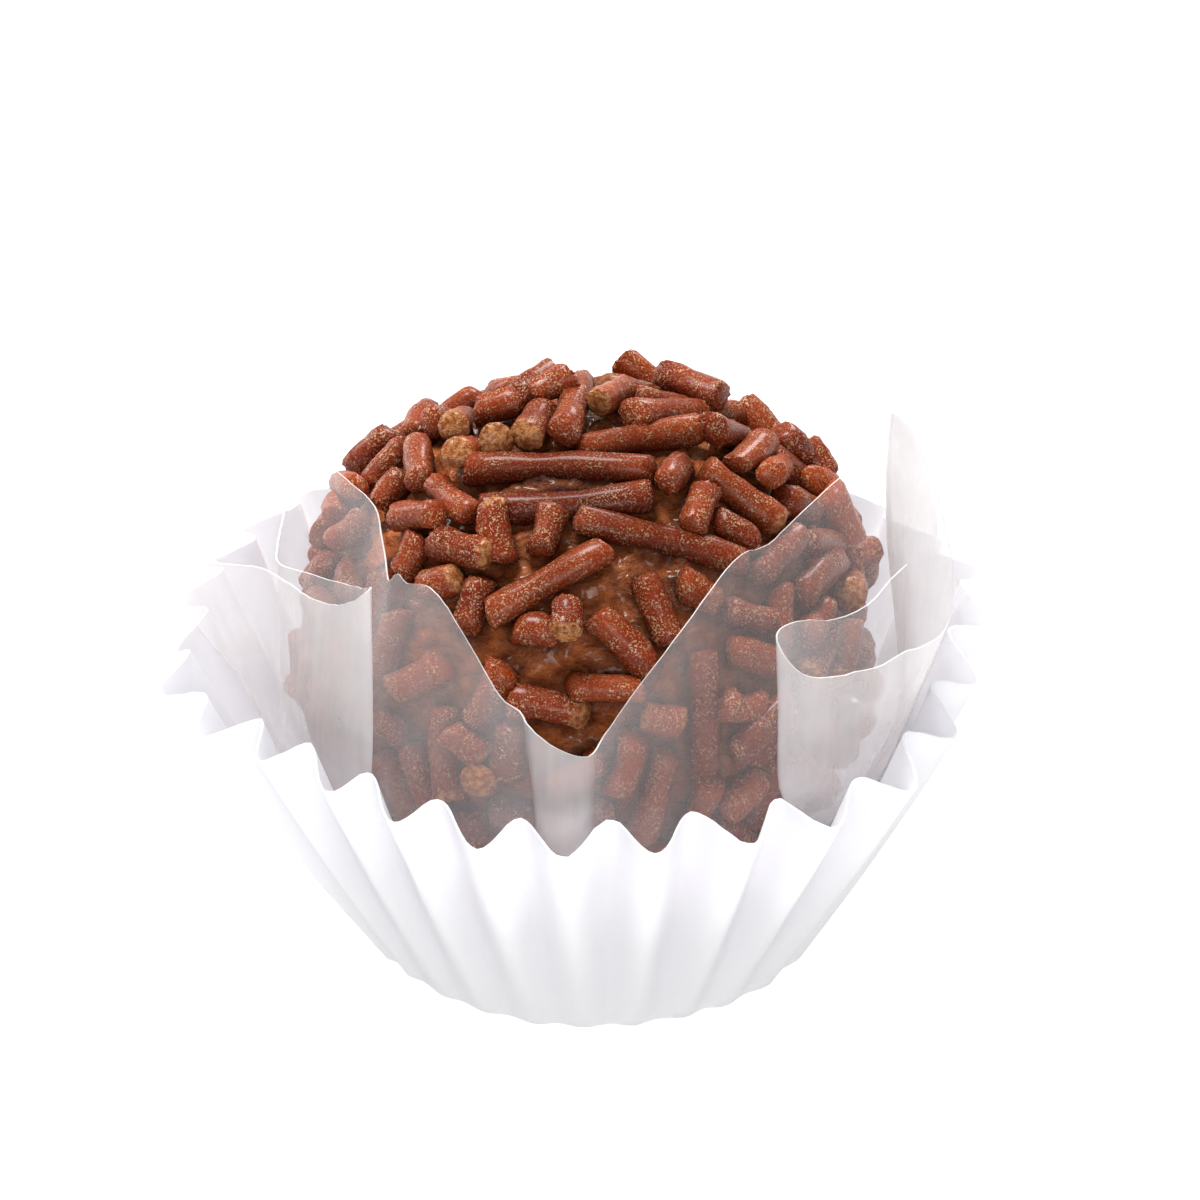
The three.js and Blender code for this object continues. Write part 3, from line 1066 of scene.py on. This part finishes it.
RIGHT_LAYS = (
    Lay((37, 48), (23, 37), 0.4),
    Lay((-1, 65), (18, 54), 0.3),
    Lay((13, 47), (18, 31), 0.4),
    Lay((-11, 58), (12, 52), 0.8, tip=0.2),
    Lay((8, 47), (-9, 51), 0.8, tip=0.4),
    Lay((-7, 45), (3, 36), 0.2),
    Lay((19, 33), (23, 38), 0.8),
    Lay((22, 45), (22, 40), 0.9),
    Lay((12, 38), (18, 32), 1.2, tip=0.2),
    Lay((-13, 36), (2, 27), 0.1),
    Lay((-27, 30), (-6, 27), 0.1, bow=0.2),
    Lay((12, 23), (6, 15), 0.1),
    Lay((1, 17), (-11, 21), 0.4, Break.END, tip=0.2),
)
UNDER_FILM_LAYS = (
    Lay((-62, 28), (-65, 4), 0.0),
    Lay((-51, 35), (-42, 30), 0.0),
    Lay((-54, 27), (-44, 21), 0.0),
    Lay((-50, 15), (-59, 18), 0.3, bow=0.4),
    Lay((-76, 18), (-70, 16), 0.0, Break.BOTH),
    Lay((-59, 7), (-46, 13), 0.0),
    Lay((-73, 9), (-78, -9), 0.0),
    Lay((-64, 1), (-69, -12), 0.0),
    Lay((-52, -2), (-60, -7), 0.2, Break.START),
    Lay((-46, 0), (-52, -14), 0.0),
    Lay((-133, 17), (-123, 25), 0.2, Break.START),
    Lay((-119, 16), (-117, -2), 0.1, Break.END),
    Lay((-111, 1), (-110, 5), 0.3, Break.END, tip=0.9),
    Lay((-111, 9), (-116, 13), 0.0, Break.START),
    Lay((-127, 5), (-121, -9), 0.0),
)


class Layer(NamedTuple):
    """Sprinkles laid at random: how many places are tried, how long they are and how they lie."""

    tries: int
    lengths: tuple[float, float]
    proud: float
    tilt: float


@dataclass
class SprinkleCoat:
    """The chocolate sprinkles: a first layer pressed into the fudge and others lying over it.

    Each lump of a sprinkle is its height, its waves along a millimetre (in radians) and its waves
    round the sprinkle.
    """

    ball: BallOutline
    radius: float = 0.88
    blank_length: float = 6.0
    sides: int = 12
    rings: int = 5
    end_round: float = 0.32
    end_bulge: float = 0.14
    bed: float = 15.4
    layers: tuple = (
        Layer(5200, (3.2, 8.0), 0.0, 0.25),
        Layer(2600, (3.2, 8.0), 1.25, 0.5),
        Layer(4200, (2.4, 4.2), 0.65, 0.5),
    )
    few_long: float = 1.6
    sink: float = 0.35
    bow_spread: float = 0.18
    pale_end: float = 0.45
    broken_share: float = 0.16
    overlap: float = 0.34
    overlap_by_hand: float = 0.5
    lift_step: float = 0.15
    highest_lift: float = 1.2
    uneven_lift_cost: float = 0.3
    shortest_by_hand: float = 2.4
    end_reach: float = 0.25
    bow_spread_by_hand: float = 0.12
    film_room: float = 0.35
    film_height: float = 25.0
    bare_turn: float = -91.0
    bare_rises: tuple = (10.0, 52.0)
    bare_foot: float = 8.0
    bare_spread: float = 0.83
    lowest_rise: float = -62.0
    front_out: tuple = (0.0, -0.866, 0.5)
    front_limit: float = 0.3
    top_limit: float = -0.25
    top_from: float = 0.66
    slant: float = 0.2
    slant_inside: float = 0.6
    lumps: tuple = ((0.06, 1.3, 0), (0.04, 2.9, 0), (0.05, 0, 2), (0.035, 1, 3))
    sizes: tuple = (0.93, 1.05)
    taper: float = 0.05
    roughness: float = 0.024
    # Painted shade: points of a sprinkle nearer the ball's middle than dark_depth get the full painted
    # shade, which fades out over lit_depth.
    dark_depth: float = 14.2
    lit_depth: float = 2.0
    seed: int = 23
    chains: list = field(default_factory=list)
    rows: list = field(default_factory=list)
    random: np.random.Generator = field(init=False)

    def __post_init__(self) -> None:
        """Start the seeded draws."""
        self.random = np.random.default_rng(self.seed)

    def on_ball(self, turn: float, rise: float, proud: float) -> np.ndarray:
        """Find a point at a height over the fudge.

        Args:
            turn: Degrees from +X.
            rise: Degrees over the ball's middle.
            proud: Height over the first layer's bed.

        Returns:
            The point, in millimetres.
        """
        a, b = math.radians(turn), math.radians(rise)
        out = (math.cos(b) * math.cos(a), math.cos(b) * math.sin(a), math.sin(b) * self.ball.flatness())
        return self.ball.centre() + (self.bed + proud) * np.array(out)

    def chain(self, start: np.ndarray, end: np.ndarray) -> np.ndarray:
        """Space points along a sprinkle's axis, for testing what it touches.

        Args:
            start: One end.
            end: The other end.

        Returns:
            One row for each point.
        """
        length = np.linalg.norm(end - start)
        inset = min(CHAIN_INSET, CHAIN_INSET_SHARE * length)
        along = (end - start) / length
        first, last = start + along * inset, end - along * inset
        count = max(2, round(np.linalg.norm(last - first) / CHAIN_STEP) + 1)
        return first + np.linspace(0, 1, count)[:, None] * (last - first)

    def depth_in_others(self, chain: np.ndarray) -> float:
        """Measure how deep a sprinkle would lie in those already laid.

        Args:
            chain: Points from chain().

        Returns:
            The deepest overlap, or less than 0 for a gap.
        """
        if not self.chains:
            return -math.inf
        others = np.concatenate(self.chains)
        apart = np.linalg.norm(chain[:, None, :] - others[None, :, :], axis=2)
        return 2 * self.radius - float(apart.min())

    def lay(self, start: np.ndarray, end: np.ndarray, cuts: tuple[float, float], bow: float) -> None:
        """Keep a sprinkle, with how pale each end is and how far its middle bends aside."""
        self.chains.append(self.chain(start, end))
        self.rows.append((start, end, cuts, bow))

    def lay_by_hand(self, lays: Sequence[Lay]) -> None:
        """Lay the sprinkles that have a place of their own, each raised clear of the earlier ones.

        Args:
            lays: The sprinkles, in order.
        """
        heights = np.arange(0, self.highest_lift, self.lift_step)
        lifts = sorted(
            ((a, b) for a in heights for b in heights),
            key=lambda pair: pair[0] + pair[1] + self.uneven_lift_cost * abs(pair[0] - pair[1]),
        )
        for item in lays:
            for lift_start, lift_end in lifts:
                start = self.on_ball(*item.start, item.proud + lift_start - item.tip)
                end = self.on_ball(*item.end, item.proud + lift_end + item.tip)
                if self.depth_in_others(self.chain(start, end)) < self.overlap_by_hand:
                    break
            else:
                start = self.on_ball(*item.start, item.proud - item.tip)
                end = self.on_ball(*item.end, item.proud + item.tip)
            length = np.linalg.norm(end - start)
            along = (end - start) / length
            shortfall = max(self.end_reach, 0.5 * (self.shortest_by_hand - length))
            bow = item.bow + self.random.normal() * self.bow_spread_by_hand
            self.lay(start - along * shortfall, end + along * shortfall, item.broken.value, bow)

    def is_bare(self, turn: float, rise: float) -> bool:
        """Tell whether a place is in the patch at the front where the fudge shows."""
        low, high = self.bare_rises
        aside = abs((turn - self.bare_turn + 180) % 360 - 180)
        return low < rise < high and aside < self.bare_foot + (rise - low) * self.bare_spread

    def is_in_front(self, out: np.ndarray) -> bool:
        """Tell whether a direction faces the front and top, where the upper layers are listed."""
        facing = float(out @ np.array(self.front_out))
        return facing > (self.top_limit if out[2] > self.top_from else self.front_limit)

    def fits_in_film(self, chain: np.ndarray) -> bool:
        """Tell whether a sprinkle stays inside the film that stands round the ball."""
        for x, y, z in chain:
            limit = self.ball.radius_at(min(z, self.ball.middle)) + self.film_room
            if z < self.film_height and math.hypot(x - self.ball.axis, y) + self.radius > limit:
                return False
        return True

    def fill(self, layer: Layer) -> None:
        """Scatter sprinkles over what is still open.

        Args:
            layer: How many places are tried, and how the sprinkles lie.
        """
        shortest, longest = layer.lengths
        for _ in range(layer.tries):
            turn = self.random.uniform(-180, 180)
            level = self.random.uniform(math.sin(math.radians(self.lowest_rise)), 1)
            rise = math.degrees(math.asin(level))
            heading, length, lean, pull = self.random.uniform(size=4)
            bow = self.random.normal() * self.bow_spread
            cuts = self.random.uniform(size=2) ** 2 * self.pale_end
            if self.random.uniform() < self.broken_share:
                cuts[self.random.integers(2)] = 1.0
            if self.is_bare(turn, rise):
                continue
            middle = self.on_ball(turn, rise, layer.proud)
            out = middle - self.ball.centre()
            out /= np.linalg.norm(out)
            if layer.proud > 0 and self.is_in_front(out):
                continue
            east = np.array((-math.sin(math.radians(turn)), math.cos(math.radians(turn)), 0))
            north = np.cross(out, east)
            swing = heading * math.pi
            along = east * math.cos(swing) + north * math.sin(swing) + out * layer.tilt * (lean - 0.5)
            along /= np.linalg.norm(along)
            span = shortest + (longest - shortest) * length**self.few_long
            middle = middle - out * self.sink * pull
            start, end = middle - along * span / 2, middle + along * span / 2
            chain = self.chain(start, end)
            if self.fits_in_film(chain) and self.depth_in_others(chain) < self.overlap:
                self.lay(start, end, tuple(cuts), bow)

    @staticmethod
    def select_ends(blank: bpy.types.Object) -> None:
        """Select the flat faces at the two ends, in edit mode."""
        bpy.ops.object.mode_set(mode="OBJECT")
        for face in blank.data.polygons:
            face.select = abs(face.normal.x) > END_FACING
        bpy.ops.object.mode_set(mode="EDIT")

    def blank(self) -> bpy.types.Object:
        """Model one straight sprinkle along X, with rounded ends.

        Returns:
            The sprinkle, which the coat is copied from.
        """
        deselect_all()
        bpy.ops.mesh.primitive_cylinder_add(
            vertices=self.sides,
            radius=self.radius * MM,
            depth=self.blank_length * MM,
            end_fill_type="NGON",
            rotation=(0, math.radians(90), 0),
        )
        bpy.ops.object.transform_apply(location=False, rotation=True, scale=False)
        blank = added("sprinkle_blank")
        with editing(blank):
            bpy.ops.mesh.select_mode(type="FACE")
            bpy.ops.mesh.select_all(action="DESELECT")
            self.select_ends(blank)
            bpy.ops.mesh.region_to_loop()
            bpy.ops.mesh.bevel(offset=self.end_round * MM, segments=1, affect="EDGES")
            self.select_ends(blank)
            bpy.ops.mesh.poke(offset=self.end_bulge * MM)
            for ring in range(1, self.rings):
                place = (ring / self.rings - 0.5) * (self.blank_length - 2 * self.end_round) * MM
                bpy.ops.mesh.select_all(action="SELECT")
                bpy.ops.mesh.bisect(plane_co=(place, 0, 0), plane_no=(1, 0, 0))
        smooth(blank, 60)
        return blank

    def shaped(self, blank: np.ndarray, start: np.ndarray, end: np.ndarray, bow: float) -> np.ndarray:
        """Shape a copy of the blank between two points.

        Args:
            blank: The blank's points.
            start: One end.
            end: The other end.
            bow: How far the middle bends aside.

        Returns:
            The copy's points, in millimetres.
        """
        length = float(np.linalg.norm(end - start))
        body = self.blank_length / 2 - self.end_round - SLACK
        inner = length / 2 - self.end_round - SLACK
        x, y, z = blank.T.copy()
        at_end = np.abs(x) > body
        x = np.where(at_end, np.sign(x) * (np.abs(x) - body + inner), x / body * inner)
        slants = self.random.normal(size=(2, 2)) * self.slant
        phases = self.random.uniform(0, math.tau, 6)
        side = (x > 0).astype(int)
        slant = slants[side, 0] * y + slants[side, 1] * z
        around = np.arctan2(z, y)
        swell = 1.0
        for (lump, waves, turns), phase in zip(self.lumps, phases):
            swell = swell + lump * np.sin(waves * x + turns * around + phase)
        swell = swell * self.random.uniform(*self.sizes)
        swell = swell * (1 + self.random.normal() * self.taper * x / (length / 2))
        jitter = self.random.normal(size=(3, len(x))) * self.roughness
        bend = bow * (1 - (2 * x / length) ** 2)
        inside = slant * np.abs(x) / inner * self.slant_inside
        local = np.stack(
            [
                x + np.where(at_end, slant, inside) + jitter[0],
                y * swell + bend + jitter[1],
                z * swell + jitter[2],
            ],
            axis=1,
        )
        along = (end - start) / length
        middle = (start + end) / 2
        across = np.cross(middle - self.ball.centre(), along)
        across /= np.linalg.norm(across)
        up = np.cross(along, across)
        return middle + local @ np.stack([along, across, up])

    def build(self) -> bpy.types.Object:
        """Lay every sprinkle and join them as one dressed mesh.

        Returns:
            The finished piece.
        """
        for lays in (FRONT_LAYS, TOP_LAYS, LEFT_LAYS, RIGHT_LAYS, UNDER_FILM_LAYS):
            self.lay_by_hand(lays)
        by_hand = len(self.rows)
        for layer in self.layers:
            self.fill(layer)
        LOG.info("sprinkles: %d by hand, %d in all", by_hand, len(self.rows))
        blank = self.blank()
        points = corners(blank)
        faces = [list(face.vertices) for face in blank.data.polygons]
        over_end = np.abs(points[:, 0]) - (self.blank_length / 2 - self.end_round)
        cap_share = np.where(over_end > self.end_round - SLACK, 1.0, np.where(over_end > -SLACK, 0.5, 0.0))
        all_points, all_faces, tones, cuts = [], [], [], []
        for start, end, cut, bow in self.rows:
            offset = len(all_points) * len(points)
            all_points.append(self.shaped(points, start, end, bow))
            all_faces.extend([[offset + corner for corner in face] for face in faces])
            tones.append(np.full(len(points), self.random.uniform()))
            cuts.append(cap_share * np.where(points[:, 0] > 0, cut[1], cut[0]))
        mesh = bpy.data.meshes.new("sprinkles")
        mesh.from_pydata(np.concatenate(all_points) * MM, [], all_faces)
        # Painted shade: lit is 0 deep in the coat and 1 at its outside, and darkens the sprinkles' colour
        # in the material.
        depths = [np.linalg.norm(shaped - self.ball.centre(), axis=1) for shaped in all_points]
        lit = [np.clip((depth - self.dark_depth) / self.lit_depth, 0, 1) for depth in depths]
        for name, values in (("tone", tones), ("cut", cuts), ("lit", lit)):
            attribute = mesh.attributes.new(name, "FLOAT", "POINT")
            attribute.data.foreach_set("value", np.concatenate(values).astype(np.float32))
        sprinkles = bpy.data.objects.new("sprinkles", mesh)
        bpy.context.scene.collection.objects.link(sprinkles)
        bpy.data.objects.remove(blank)
        bpy.context.view_layer.update()
        smooth(sprinkles, 60)
        mesh.materials.append(SprinkleFinish().make())
        return sprinkles


@dataclass
class FudgeCore:
    """The fudge ball between the sprinkles, with a smeared surface."""

    ball: BallOutline
    radius: float = 14.75
    bottom: float = 1.2
    detail: int = 7
    relief: float = 0.42
    relief_pace: float = 0.9
    relief_stretch: float = 1.8
    relief_octaves: tuple = (0.9, 2.1, 5)
    climb: float = 0.38
    climb_reach: float = 0.75
    # Painted shade in the fudge: darkest where the gap to a sprinkle is under open_from, gone open_reach
    # further out.
    open_from: float = -0.1
    open_reach: float = 1.1

    def build(self, coat: SprinkleCoat) -> bpy.types.Object:
        """Model the core round the sprinkles and dress it.

        Args:
            coat: The sprinkles, which the fudge climbs a little.

        Returns:
            The finished piece.
        """
        deselect_all()
        bpy.ops.mesh.primitive_ico_sphere_add(subdivisions=self.detail, radius=self.radius * MM)
        core = added("fudge_core")
        axes = np.concatenate(coat.chains)
        tree = kdtree.KDTree(len(axes))
        for index, point in enumerate(axes):
            tree.insert(point, index)
        tree.balance()
        squash = Vector((1, 1, self.ball.flatness()))
        centre = Vector(self.ball.centre())
        # Painted shade: 0 close to a sprinkle, where the fudge is painted dark, and 1 in the open.
        unshaded_share = core.data.attributes.new("open", "FLOAT", "POINT")
        places = corners(core)
        for index, row in enumerate(places):
            out = Vector(row).normalized()
            point = centre + out * squash * self.radius
            streaked = Vector((point.x, point.y, point.z * self.relief_stretch))
            height = self.relief * noise.fractal(streaked * self.relief_pace, *self.relief_octaves)
            gap = tree.find(point)[2] - coat.radius
            near = max(0.0, 1 - max(0.0, gap) / self.climb_reach)
            height += self.climb * near * near
            # Painted shade: the nearer a sprinkle, the darker the fudge is painted.
            unshaded_share.data[index].value = max(0.0, min(1.0, (gap - self.open_from) / self.open_reach))
            point += out * height
            point.z = max(self.bottom, point.z)
            places[index] = point
        move_corners(core, places)
        smooth(core, 80)
        core.data.materials.append(FudgeFinish().make())
        return core


# ---------------------------------------------------------------- studio


@dataclass
class Studio:
    """A white floor, soft white lights and the camera."""

    aim: tuple = (-0.6, 0.0, 16.2)
    elevation: float = 30.0
    distance: float = 400.0
    aside: float = 0.944
    above: float = 3.056
    lens: float = 216.0
    sky_seen: float = 1.10
    sky_light: float = 0.32
    floor_glow: float = 0.90
    lights: tuple = (
        ("top", (-50, 40, 270), 90, 0.94),
        ("back", (80, 230, 170), 90, 0.42),
        ("front", (20, -320, 150), 170, 0.44),
        ("back left", (-210, 170, 120), 120, 0.36),
    )

    def build(self) -> None:
        """Add everything that isn't the object."""
        self.add_camera()
        self.add_floor()
        self.add_sky()
        for light in self.lights:
            self.add_light(*light)
        scene = bpy.context.scene
        scene.view_settings.view_transform = "Standard"
        scene.cycles.transparent_max_bounces = 32
        scene.cycles.max_bounces = 10

    def add_camera(self) -> None:
        """Add the camera, level with the horizon and looking down at the ball."""
        tilt = math.radians(self.elevation)
        back = Vector((0, -math.cos(tilt), math.sin(tilt)))
        up = Vector((0, math.sin(tilt), math.cos(tilt)))
        place = Vector(self.aim) + back * self.distance + up * self.above + Vector((self.aside, 0, 0))
        deselect_all()
        bpy.ops.object.camera_add(location=place * MM, rotation=(math.radians(90) - tilt, 0, 0))
        camera = bpy.context.active_object
        camera.data.lens = self.lens
        camera.data.sensor_width = 36.0
        camera.data.clip_start = 0.01
        camera.data.clip_end = 20.0
        bpy.context.scene.camera = camera

    def add_floor(self) -> None:
        """Add the floor that the case stands on."""
        deselect_all()
        bpy.ops.mesh.primitive_plane_add(size=6.0)
        floor = added("floor")
        recipe = Recipe("floor_white")
        surface = recipe.shader(
            "BsdfPrincipled",
            {
                "Base Color": (0.35, 0.35, 0.35, 1.0),
                "Roughness": 0.9,
                "Specular IOR Level": 0.1,
                "Emission Color": (1.0, 1.0, 1.0, 1.0),
                "Emission Strength": self.floor_glow,
            },
        )
        floor.data.materials.append(recipe.finish(surface))

    def add_sky(self) -> None:
        """Surround the scene with white, a little dimmer as a light than as it looks."""
        world = bpy.data.worlds.new("white_surround")
        world.use_nodes = True
        bpy.context.scene.world = world
        tree = world.node_tree
        tree.nodes.clear()
        seen = tree.nodes.new("ShaderNodeLightPath")
        strength = tree.nodes.new("ShaderNodeMapRange")
        strength.inputs["To Min"].default_value = self.sky_light
        strength.inputs["To Max"].default_value = self.sky_seen
        shade = tree.nodes.new("ShaderNodeBackground")
        output = tree.nodes.new("ShaderNodeOutputWorld")
        tree.links.new(seen.outputs["Is Camera Ray"], strength.inputs["Value"])
        tree.links.new(strength.outputs[0], shade.inputs["Strength"])
        tree.links.new(shade.outputs[0], output.inputs[0])

    def add_light(self, name: str, place: tuple, size: float, power: float) -> None:
        """Add a soft square light that faces the ball.

        Args:
            name: What it is for.
            place: Where it stands.
            size: Its side.
            power: Watts.
        """
        deselect_all()
        bpy.ops.object.light_add(type="AREA", location=Vector(place) * MM)
        light = bpy.context.active_object
        light.name = f"light_{name}"
        light.data.size = size * MM
        light.data.energy = power
        light.rotation_euler = (Vector(self.aim) - Vector(place)).to_track_quat("-Z", "Y").to_euler()


def place_on_body(piece: bpy.types.Object, slot: str, *nodes: str) -> None:
    """Hand a finished piece to the frame.

    Args:
        piece: The piece.
        slot: Its material slot, which is not used.
        *nodes: The CAD nodes that it stands for.
    """
    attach(piece, "root")
    if nodes:
        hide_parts(*nodes)
    LOG.info("%s: %d faces", piece.name, len(piece.data.polygons))


def main() -> None:
    """Build the brigadeiro and its studio."""
    logging.basicConfig(level=logging.INFO, format="%(name)s: %(message)s")
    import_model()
    Studio().build()
    ball = BallOutline()
    place_on_body(PaperCase().build(), "white_paper", "paper_case")
    coat = SprinkleCoat(ball)
    place_on_body(coat.build(), "chocolate", "sprinkled_ball")
    place_on_body(FudgeCore(ball).build(coat), "chocolate", "sprinkled_ball")
    place_on_body(FilmWrapper(ball).build(), "clear_film", "film_wrapper")


if __name__ == "__main__":
    main()
